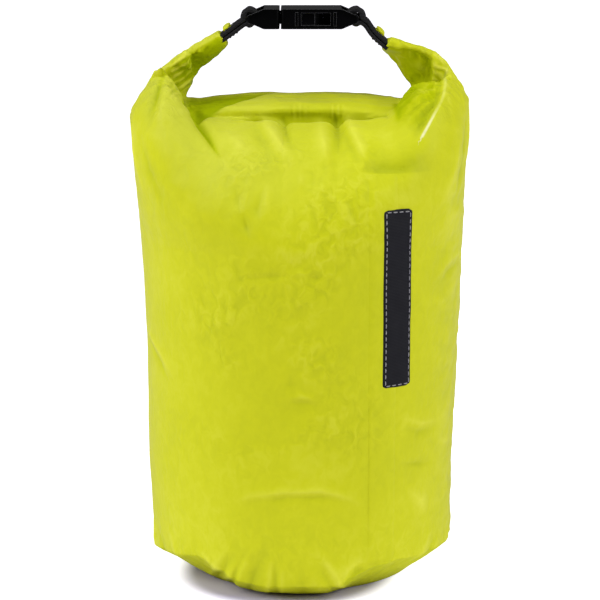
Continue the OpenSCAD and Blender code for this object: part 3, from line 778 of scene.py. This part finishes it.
# Painted shade: where the fabric lies double, is tucked under, faces down or shows its inner side,
# it is painted deeper green and made matt, as shade falls there, also in the pocket and the slit.
in_left_end = 0.32 * ease(-rest_x, 40, 46) * ease(rest_z, 262, 270) * ease(rest_x + rest_z, 200, 206)
in_left_end = in_left_end * ease(lie_x, -0.05, 0.4)
in_left_arm = between(rest_x, -70, -62, -44, -38) * ease(rest_z, 274, 278) * ease(-lie_z, -0.5, 0)
under_tuck, _ = beside(rest_places, np.array(right_tuck[1])[:, :2])
in_right_end = 0.62 * ease(rest_x, 52, 61) * ease(rest_z, 266, 273) * ease(under_tuck, -0.6, 0.6)
in_right_end = in_right_end * ease(-lie_x, -0.3, 0.1)
in_pocket = 0.12 * ease(-np.abs(pocket(rest_places)), -2.5, -0.8) * ease(rest_z, 246, 250)
in_turn = turned_down(rest_places)
in_slit = np.clip(-0.4 * fold_height(rest_places, [slit, left_valley]) - 0.3, 0, 1) * ease(-rest_y, 8, 14)
knuckle_edge = ease(rest_z - np.interp(rest_x, *top_edge.T), -7, -1.5) * ease(-rest_x, -70, -62)
in_knuckle = (0.4 + 0.6 * knuckle_edge) * ease(rest_x, 50, 54) * ease(from_highlight_fold, 1, 4)
in_knuckle = in_knuckle * between(rest_z, 254, 262, 278, 280) * ease(-rest_y, 5, 9)
under_rim = 0.28 * ease(-lie_z, 0.1, 0.45) * ease(-rest_z, -30, -22)
tucks = tucked_in(rest_places, (3, left_tuck[1])) + tucked_in(rest_places, (3, right_tuck[1]))
in_tucks = np.clip(tucks / 4, 0, 1) * ease(-lie_y, 0, 0.3)
painted_shade_places = np.max([in_left_end, in_left_arm, in_right_end, in_pocket, in_turn, in_slit, in_knuckle, under_rim,
                  in_tucks], axis=0)

# Gathers: fine pleats where the fabric is pinched at the left foot, beside the right tuck and on the
# right lap. Each point has a count of pleats across the pinch, and how strongly they show.
fold_noise = 0.5 * crumple(rest_places, 12, 31, 2)
across_left = (0.57 * rest_x - 0.82 * rest_z) / 3.4 + fold_noise
across_right = (0.55 * rest_x + 0.83 * rest_z) / 4.2 + 3 * fold_noise
on_left_foot = between(rest_x, -73, -69, -60, -57) * between(rest_z, 268, 273, 287, 293)
on_strip = between(rest_x, 72.6, 74, 80, 84) * ease(rest_z, 274, 278)
on_lap = ease(rest_x, 53, 60) * ease(from_highlight_fold, 1, 3) * between(rest_z, 255, 262, 275, 278)
gathered_by = np.clip(on_left_foot + 0.6 * on_strip + 0.12 * on_lap, 0, 1) * ease(-lie_y, -0.1, 0.25)
# The layers amount carried here is painted shade, and the fold amount painted highlight and shade.
fabric_marks = {
    "scuff": from_highlight_fold, "near_fold": near_fold, "layers": painted_shade_places, "crinkled": crinkles_at(rest_places),
    "polish": fold_light_and_shade_at(rest_places, normals), "gathered": gathered_by,
    "across_gathers": np.where(rest_x < 0, across_left, across_right),
}


def carry(made, marks):
    """Gives the points of a piece their amounts, for its finish to read."""
    for name, amount in marks.items():
        made.data.attributes.new(name, "FLOAT", "POINT").data.foreach_set("value", amount.astype(np.float32))


def cut_out(name, chosen):
    used, renumbered = np.unique(faces[chosen], return_inverse=True)
    made = piece(name, places[used], renumbered.reshape(-1, 4), nylon)
    made.data.normals_split_custom_set_from_vertices(skin_normals[used].tolist())
    carry(made, {name: amount[used] for name, amount in fabric_marks.items()})
    return made


centre_x, centre_y, centre_z = places[faces].mean(1).T
is_base = centre_z < 0.4
is_left_end = (centre_x < -38) & (centre_z > 267 + 3 * ease(centre_x, -60, -52)) & (centre_x + centre_z > 203)
is_right_end = (centre_x > 38) & (centre_z > 268) & (centre_z - centre_x > 200)
is_roll = (centre_z > 256) & (np.abs(centre_y) < 22) & (centre_x > -58) & (centre_x < 54)
is_roll = is_roll & ~is_left_end & ~is_right_end

side = cut_out("sack_side", ~(is_base | is_left_end | is_right_end | is_roll))
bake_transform(side)
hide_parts("side_panel", "side_seam_tape")
base = cut_out("sack_base", is_base)
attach(base, "sack")
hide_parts("base_panel", "base_seam_tape")
mouth = cut_out("rolled_mouth", is_roll)
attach(mouth, "closure")
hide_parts("closure_roll", "hem_sleeve", "stiffener_strip")
left_end = cut_out("left_end", is_left_end)
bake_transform(left_end)
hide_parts("left_horn", "left_stiffener_end")
right_end = cut_out("right_end", is_right_end)
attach(right_end, "closure")
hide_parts("right_horn", "right_stiffener_end")


# Side seam: the tube's one long seam, a flat lap welded down the front right. Its cut edge is crisp at
# the left, and the layer fades into the panel at the right.
seam_left, seam_right, seam_low, seam_top = 36.6, 52.6, 20, 235


def laid_on(x, z, lift):
    """Points at x and z on the front of the sack, lifted off the fabric."""
    guess = np.stack([x, -85 * np.sqrt(np.clip(1 - (x / 92) ** 2, 0.05, 1)), z], axis=1)
    for _ in range(8):
        lie = slope(fabric, guess)
        guess[:, 1] -= np.clip(fabric(guess) / np.minimum(lie[:, 1], -0.2), -4, 4)
    lie = slope(fabric, guess)
    lie = lie / np.linalg.norm(lie, axis=1)[:, None]
    return guess + lie * (creased(guess, lie) + lift)[:, None]


def sheet_faces(rows, columns):
    at_row, at_column = np.meshgrid(np.arange(rows - 1), np.arange(columns - 1), indexing="ij")
    first = (at_row * columns + at_column).ravel()
    return np.stack([first, first + 1, first + columns + 1, first + columns], axis=1)


# The lap's section: how far across it each point is, and how far off the panel.
seam_across = np.array([0, 0.025, 0.07, 0.13, 0.25, 0.4, 0.55, 0.7, 0.82, 0.92, 1])
seam_lift = np.array([-0.3, 0.2, 0.45, 0.5, 0.5, 0.48, 0.48, 0.48, 0.42, 0.2, -0.4])
seam_flat = 0.48
seam_rows = np.linspace(seam_low, seam_top, 180)
row_z, row_share = np.meshgrid(seam_rows, seam_across, indexing="ij")
crisp = 0.35 + 0.65 * between(row_z, seam_low, 40, 95, 120)
edge_lift = seam_flat + crisp * (seam_lift - seam_flat) - 0.35 * (1 - crisp) * (row_share < 0.1)
row_lift = np.where(row_share < 0.3, edge_lift, seam_lift) - 1.2 * ease(row_z, seam_top - 1.5, seam_top)
row_x = seam_left + (seam_right - seam_left) * row_share
seam_places = laid_on(row_x.ravel(), row_z.ravel(), row_lift.ravel())
seam = piece("side_seam_lap", seam_places, sheet_faces(*row_z.shape), nylon)
carry(seam, {"crinkled": crinkles_at(seam_places),
             "polish": fold_light_and_shade_at(seam_places, slope(fabric, seam_places))})
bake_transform(seam)
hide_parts("side_seam")


# Label: a blank woven patch of charcoal polyester, sewn to the front over the side seam with a row of
# grey thread.
label_left, label_right, label_low, label_high = 44, 59.5, 118, 216
label_round, label_lift, edge_drop = 2.2, 1.15, 0.9
label_finish, at = finish("woven_label")
ribs = waves(at, "Z", 0.0008)
picks = waves(at, "X", 0.0005)
mottle = noise(at, 160, 2)
charcoal = ramp(0.4 * ribs + 0.2 * picks + 0.4 * mottle,
                (0.2, (0.006, 0.0065, 0.0075, 1)), (0.8, (0.018, 0.0185, 0.02, 1)))


def covered(at, sockets):
    """Ends a finish with one shader."""
    at.node("OutputMaterial", {}, {"Surface": at.node("BsdfPrincipled", {}, sockets)})


covered(at, {"Base Color": charcoal, "Roughness": 0.62 + 0.12 * mottle, "Specular IOR Level": 0.12,
             "Normal": bumped(0.00008 * ribs * picks, 0.5)})


def rounded_patch(step, columns=17):
    """x and z of a grid over the label, whose rows shorten at its round corners."""
    half = (label_high - label_low) / 2
    z = np.linspace(-half, half, int(2 * half / step))
    corner = np.clip(np.abs(z) - (half - label_round), 0, label_round)
    trim = label_round - np.sqrt(label_round**2 - corner**2)
    half_w = (label_right - label_left) / 2 - trim
    x = half_w[:, None] * np.linspace(-1, 1, columns) + (label_left + label_right) / 2
    return x, np.broadcast_to(z[:, None], x.shape) + (label_low + label_high) / 2


patch_x, patch_z = rounded_patch(1.2)
edge = np.zeros(patch_x.shape)
edge[0] = edge[-1] = edge[:, 0] = edge[:, -1] = 1
label_places = laid_on(patch_x.ravel(), patch_z.ravel(), (label_lift - edge_drop * edge).ravel())
label = piece("label", label_places, sheet_faces(*patch_x.shape), label_finish)
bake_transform(label)


def tube_faces(rows, columns):
    """Faces of a grid whose last column joins its first."""
    row, column = np.meshgrid(np.arange(rows - 1), np.arange(columns), indexing="ij")
    first, second = row * columns + column, row * columns + (column + 1) % columns
    return np.stack([first, second, second + columns, first + columns], axis=-1).reshape(-1, 4)


def stitched(name, runs, thick, material):
    """One mesh of thread: each run is its two ends and the way it bows out of the cloth."""
    ring = np.linspace(0, 2 * math.pi, 7)[:-1]
    stops = np.linspace(0, 1, 6)
    bow = thick * (0.9 * np.sin(math.pi * stops) - 0.35)
    girth = thick * np.sqrt(np.clip(np.sin(math.pi * (0.1 + 0.8 * stops)), 0.2, 1))
    all_places, all_faces = [], []
    for k, (start, end, out) in enumerate(runs):
        way = (end - start) / np.linalg.norm(end - start)
        spine = start + stops[:, None] * (end - start) + bow[:, None] * out
        rim = np.cos(ring)[:, None] * np.cross(way, out) + np.sin(ring)[:, None] * out
        all_places.append((spine[:, None] + girth[:, None, None] * rim).reshape(-1, 3))
        all_faces.append(k * len(stops) * len(ring) + tube_faces(len(stops), len(ring)))
    return piece(name, np.concatenate(all_places), np.concatenate(all_faces), material)


def thread_finish(name, dark, pale):
    made, at = finish(name)
    strands = waves(at, "DIAGONAL", 0.0004, Distortion=1.5)
    covered(at, {"Base Color": ramp(strands, (0.1, dark), (0.9, pale)), "Roughness": 0.5 + 0.1 * strands,
                 "Normal": bumped(0.0001 * strands, 0.7), "Sheen Weight": 0.2})
    return made


grey_thread = thread_finish("grey_thread", (0.22, 0.22, 0.22, 1), (0.42, 0.42, 0.41, 1))
stitch, stitch_gap, stitch_inset, label_thread_half = 2.3, 1.2, 1.5, 0.3
sewn_left, sewn_right = label_left + stitch_inset, label_right - stitch_inset
sewn_low, sewn_high = label_low + stitch_inset, label_high - stitch_inset
border = np.array([(sewn_left, sewn_low), (sewn_right, sewn_low),
                   (sewn_right, sewn_high), (sewn_left, sewn_high)])
stitch_ends = []
for corner, after in zip(border, np.roll(border, -1, axis=0)):
    count = round(np.linalg.norm(after - corner) / (stitch + stitch_gap))
    for k in range(count):
        stitch_ends += [corner + (after - corner) * (k + share) / count for share in (0.16, 0.84)]
stitch_x, stitch_z = np.array(stitch_ends).T
low_ends, high_ends = (laid_on(stitch_x, stitch_z, np.full(len(stitch_x), lift)).reshape(-1, 2, 3)
                       for lift in (label_lift, label_lift + 1))
label_runs = [(low[0], low[1], (high - low).mean(0)) for low, high in zip(low_ends, high_ends)]
label_thread = stitched("label_thread", label_runs, label_thread_half, grey_thread)
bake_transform(label_thread)


# Tabs: 20 mm black polyester webbing. Each tab passes through its half of the buckle, round the bar,
# and its two ends are sewn together over the tip of the rolled hem.
bar_z = (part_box("female_housing")[0].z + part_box("female_housing")[1].z) / 2 / MM
webbing_half, webbing_half_t, bar_half = 10, 1.12, 2
snug, loose = webbing_half_t + 0.05, bar_half + 0.2 + webbing_half_t
left_bar = np.array([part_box("male_frame")[0].x / MM + 2.5, 0, bar_z + 0.3])
right_bar = np.array([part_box("female_housing")[1].x / MM - 2.5, 0, bar_z + 0.6])
# The stitching: its rows from the tab's end, the places in a row, and half a stitch across and along.
tack_rows, tack_places = (9.5, 7.2, 5), np.linspace(-7.8, 7.8, 7)
tack_across, tack_along, tack_thread_half = 1.05, 0.5, 0.32
# Each tab: its bar, the side it runs to, how steeply it falls, its length, its arch and its body.
tabs = {
    "left": (left_bar, -1, math.radians(35), 20.5, 0.2, "male_half"),
    "right": (right_bar, 1, math.radians(41), 25, 1.6, "closure"),
}
webbing, at = finish("black_webbing")
turned = at.node("VectorRotate", {"rotation_type": "Y_AXIS"}, {"Vector": at, "Angle": math.radians(36)})
warp = waves(turned, "Y", 0.0013)
weft = waves(turned, "DIAGONAL", 0.0011, Distortion=0.4)
fuzz = noise(at, 900, 2)
ink = ramp(0.45 * warp + 0.35 * weft + 0.2 * fuzz,
           (0.15, (0.003, 0.003, 0.0033, 1)), (0.85, (0.014, 0.014, 0.0145, 1)))
covered(at, {"Base Color": ink, "Roughness": 0.55 + 0.15 * fuzz, "Specular IOR Level": 0.15,
             "Normal": bumped(0.00012 * warp + 0.0001 * weft, 0.8)})
black_thread = thread_finish("black_thread", (0.006, 0.006, 0.006, 1), (0.03, 0.03, 0.03, 1))


def tab_frame(name):
    """A tab's bar, the ways that it runs and faces, its length, its arch and its body."""
    bar, outward, fall, length, arch, body = tabs[name]
    along = np.array([outward * math.cos(fall), 0, -math.sin(fall)])
    up = np.array([outward * math.sin(fall), 0, math.cos(fall)])
    return bar, along, up, length, arch, body


for name in tabs:
    bar, along, up, length, arch, body = tab_frame(name)
    under = [(length, -snug), (0.7 * length, -snug), (8, -snug), (4.8, -snug), (3.2, -1.9), (1.7, -2.9)]
    turns = np.radians(np.linspace(-105, -255, 9))
    round_bar = [(loose * math.cos(turn), loose * math.sin(turn)) for turn in turns]
    over = [(far, -high) for far, high in reversed(under)]
    spine = curve_through(np.array(under + round_bar + over), 110)
    spine[:, 1] += arch * np.exp(-(((spine[:, 0] - 7) / 4.5) ** 2))
    spine[:, 1] *= 1 + 0.28 * ease(spine[:, 1], 0.5, 3) * ease(-spine[:, 0], -5, -1)
    fatter = 1 + 0.85 * np.exp(-(((spine[:, 0] - 2.8) / 1.4) ** 2))
    ahead = np.gradient(spine, axis=0)
    ahead /= np.linalg.norm(ahead, axis=1)[:, None]
    proud = np.stack([ahead[:, 1], -ahead[:, 0]], axis=1)
    around = np.linspace(0, 2 * math.pi, 97)[:-1]
    wide = webbing_half * np.sign(np.cos(around)) * np.abs(np.cos(around)) ** 0.25
    deep = webbing_half_t * np.sign(np.sin(around)) * np.abs(np.sin(around)) ** 0.45
    deep = deep * (1 + 0.06 * np.cos(2 * math.pi * wide / 2.2)) * (1 + 0.12 * ease(np.abs(wide), 8.2, 9.2))
    sway = 0.25 * np.sin(np.linspace(0, 9, len(spine)))
    local = spine[:, None] + proud[:, None] * (fatter[:, None] * deep)[..., None]
    tab_places = bar + local[..., :1] * along + local[..., 1:] * up
    tab_places[..., 1] += wide + sway[:, None]
    tab = piece(name + "_webbing", tab_places.reshape(-1, 3), tube_faces(*tab_places.shape[:2]), webbing)
    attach(tab, body)
    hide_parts(name + "_tab")

    half_stitch = tack_across * np.array([0, 1, 0]) - tack_along * along
    runs = []
    for face in (1, -1):
        for from_end in tack_rows:
            row = bar + (length - from_end) * along + face * (snug + webbing_half_t) * up
            for place in tack_places:
                middle = row + np.array([0, place, 0])
                runs.append((middle - half_stitch, middle + half_stitch, face * up))
    tack = stitched(name + "_tab_thread", runs, tack_thread_half, black_thread)
    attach(tack, body)
    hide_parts(name + "_bartack")


# Hem corners: the corner of the hem, folded over and left standing out above each tab's sewn end. It is
# the sack's own nylon, and the stitching of the tab holds it.
# Each corner: how far along its tab and how high above it, and half its length, width and thickness.
hem_corners = {"left": (14.3, 2.9, (2.6, 7.5, 1.5)), "right": (16.2, 3.1, (3, 7.5, 1.5))}
hem_stops = np.linspace(-1, 1, 33)
hem_ring = np.linspace(0, 2 * math.pi, 49)[:-1]
for name, (far, high, half) in hem_corners.items():
    bar, along, up, _, _, body = tab_frame(name)
    to_end, turn = np.meshgrid(hem_stops, hem_ring, indexing="ij")
    v = np.sin(math.pi / 2 * to_end)
    fold = 1 - 0.3 * np.exp(-((turn - math.pi) / 0.3) ** 2)
    girth = np.sqrt(1 - v**6) * (1 + 0.08 * np.sin(7 * v)) * fold
    forward = far + half[0] * girth * np.cos(turn)
    proud = high + half[2] * girth * np.sin(turn) + 0.3 * np.sin(4 * v)
    hem_places = bar + forward[..., None] * along + proud[..., None] * up
    hem_places[..., 1] += half[1] * v
    hem = piece(name + "_hem_corner", hem_places.reshape(-1, 3), tube_faces(*v.shape), nylon)
    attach(hem, body)


# Buckle: a side-release buckle moulded in black acetal. The socket half and the half with the sprung
# prongs come out of the mould with softly rounded edges and a fine matt grain.
flat_angle, sharp_angle, smooth_angle = (math.radians(angle) for angle in (2, 28, 40))
acetal, at = finish("black_acetal")
grain = noise(at, 2200, 2)
scuffs = noise(at, 90, 5, Roughness=0.7)
# Painted light: faces that point up are painted lighter grey, as the light from above shows them.
painted_top_light = ranged(part_of(at.node("NewGeometry", output="Normal"), "Z"), 0.5, 1.0, 0.0, 0.9)
# Painted highlight: the rounded edges are painted lighter grey, more where the scuffs are.
black = ramp(0.006 * scuffs + mark(at, "rubbed_edge") * (0.35 + 0.6 * scuffs) + 0.17 * painted_top_light,
             (0, (0.0003, 0.0003, 0.0003, 1)), (1, (0.1, 0.1, 0.103, 1)))
covered(at, {"Base Color": black, "Roughness": 0.3 + 0.16 * scuffs, "Specular IOR Level": 0.035,
             "Normal": bumped(0.00004 * grain, 0.5)})


def moulded(name, node, body, soften, ribs=()):
    """A solid of the buckle with rounded edges, and with ribs added between pairs of corners."""
    mesh = bmesh.new()
    mesh.from_mesh(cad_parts[node].data)
    # The faces of the rounded edges are marked for a painted highlight in the finish.
    rubbed_edge = mesh.faces.layers.float.new("rubbed_edge")
    for low, high in ribs:
        for vert in bmesh.ops.create_cube(mesh, size=1)["verts"]:
            vert.co = Vector(a + (b - a) * (c + 0.5) for a, b, c in zip(low, high, vert.co)) * MM
    bmesh.ops.remove_doubles(mesh, verts=mesh.verts, dist=1e-6)
    bmesh.ops.dissolve_limit(mesh, angle_limit=flat_angle, verts=mesh.verts, edges=mesh.edges)
    sharp = [e for e in mesh.edges if len(e.link_faces) == 2 and e.calc_face_angle(0) > sharp_angle]
    rounded = bmesh.ops.bevel(mesh, geom=sharp, offset=soften * MM, segments=3, profile=0.5, affect="EDGES",
                              clamp_overlap=True)
    for face in rounded["faces"]:
        face[rubbed_edge] = 1
    for face in mesh.faces:
        face.smooth = True
    for e in mesh.edges:
        e.smooth = e.calc_face_angle(0) < smooth_angle
    data = bpy.data.meshes.new(name)
    mesh.to_mesh(data)
    mesh.free()
    data.materials.append(acetal)
    made = placed(name, data)
    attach(made, body)
    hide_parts(node)


# A wall across the inside of the socket, and a rib at each end of its two windows.
socket_ribs = [((11.5, -1.4, 306.6), (17.8, 1.4, 315.4))]
for front, back in ((-14.6, -13), (13, 14.6)):
    for left, right in ((-2.7, -1), (18.4, 20)):
        socket_ribs.append(((left, front, 307.2), (right, back, 314.8)))
half_edge, prong_edge = 0.5, 0.4
moulded("buckle_socket", "female_housing", "closure", half_edge, socket_ribs)
moulded("buckle_latch", "male_frame", "male_half", half_edge)
moulded("buckle_prong_front", "prong_front", "front_prong", prong_edge)
moulded("buckle_prong_rear", "prong_rear", "rear_prong", prong_edge)


# Studio: a white floor that keeps the contact shadow, a large soft light at the left and a smaller one
# at the right, both a little in front, and a soft light above.
white_floor, at = finish("white_floor")
# Painted shadow: for the camera the floor glows white except in a patch round a point left of and in front of
# the sack, where its violet diffuse colour shows the shade.
shade_at = at.node("VectorMath", {"operation": "SUBTRACT"}, {0: at, 1: (-0.008, -0.032, 0)})
from_sack = at.node("VectorMath", {"operation": "LENGTH"}, {0: shade_at}, output="Value")


def with_distance(start, end, near, far):
    return ranged(from_sack, start, end, near, far, "SMOOTHSTEP")


def ray(at, kind):
    return at.node("LightPath", output=f"Is {kind} Ray")


seen = ray(at, "Camera") * with_distance(0.05, 0.067, 0.0, 1.0)
mirrored = (ray(at, "Glossy") + ray(at, "Transmission")) * with_distance(0.2, 0.8, 0.0, 0.3)
# Painted light: near the sack the floor also glows for diffuse rays, lighting the sack's underside.
painted_bounce_light = ray(at, "Diffuse") * (with_distance(0.05, 0.08, 0.0, 0.73) - with_distance(0.1, 0.25, 0.0, 0.32))
no_light, full_light = (0, 0, 0, 1), (1, 1, 1, 1)
glow_colour = tinted(seen + mirrored + painted_bounce_light, no_light, full_light)
# The violet shows only in the painted shadow patch.
lit = at.node("BsdfDiffuse", {}, {"Color": (0.58, 0.53, 0.76, 1)})
glow = at.node("Emission", {}, {"Color": glow_colour, "Strength": 1.0})
at.node("OutputMaterial", {}, {"Surface": at.node("AddShader", {}, {0: lit, 1: glow})})
floor_half, floor_back = 9e3, 2e4
floor_corners = np.array([(-floor_half, -floor_half, 0), (floor_half, -floor_half, 0),
                          (floor_half, floor_back, 0), (-floor_half, floor_back, 0)])
floor = piece("floor", floor_corners, np.array([(0, 1, 2, 3)]), white_floor)

world = bpy.data.worlds.new("studio")
bpy.context.scene.world = world
world.use_nodes = True
world.node_tree.nodes.clear()
sky = Value(world.node_tree, None).node("TexCoord", output="Generated")
dim = ranged(part_of(sky, "Z"), 0, 1, 0.08, 0.3)
in_view = ray(sky, "Camera")
sky_colour = tinted(in_view + (1 - in_view) * dim, no_light, full_light)
sky.node("OutputWorld", {}, {"Surface": sky.node("Background", {}, {"Color": sky_colour, "Strength": 1.0})})

lights_aim = Vector((0, 0, 0.15))


def soft_light(name, place, size, power):
    data = bpy.data.lights.new(name, "AREA")
    data.shape = "RECTANGLE"
    data.size, data.size_y = size
    data.energy = power
    made = placed(name, data)
    made.location = place
    made.rotation_euler = (lights_aim - Vector(place)).to_track_quat("-Z", "Y").to_euler()


soft_light("left_softbox", (-1.45, -0.65, 1.15), (0.9, 1.3), 22.6)
soft_light("right_softbox", (1.45, -0.65, 1.05), (0.8, 1.2), 18.6)
soft_light("overhead", (-0.2, -0.1, 1.8), (1.0, 1.0), 6.5)

bpy.context.scene.view_settings.view_transform = "Standard"
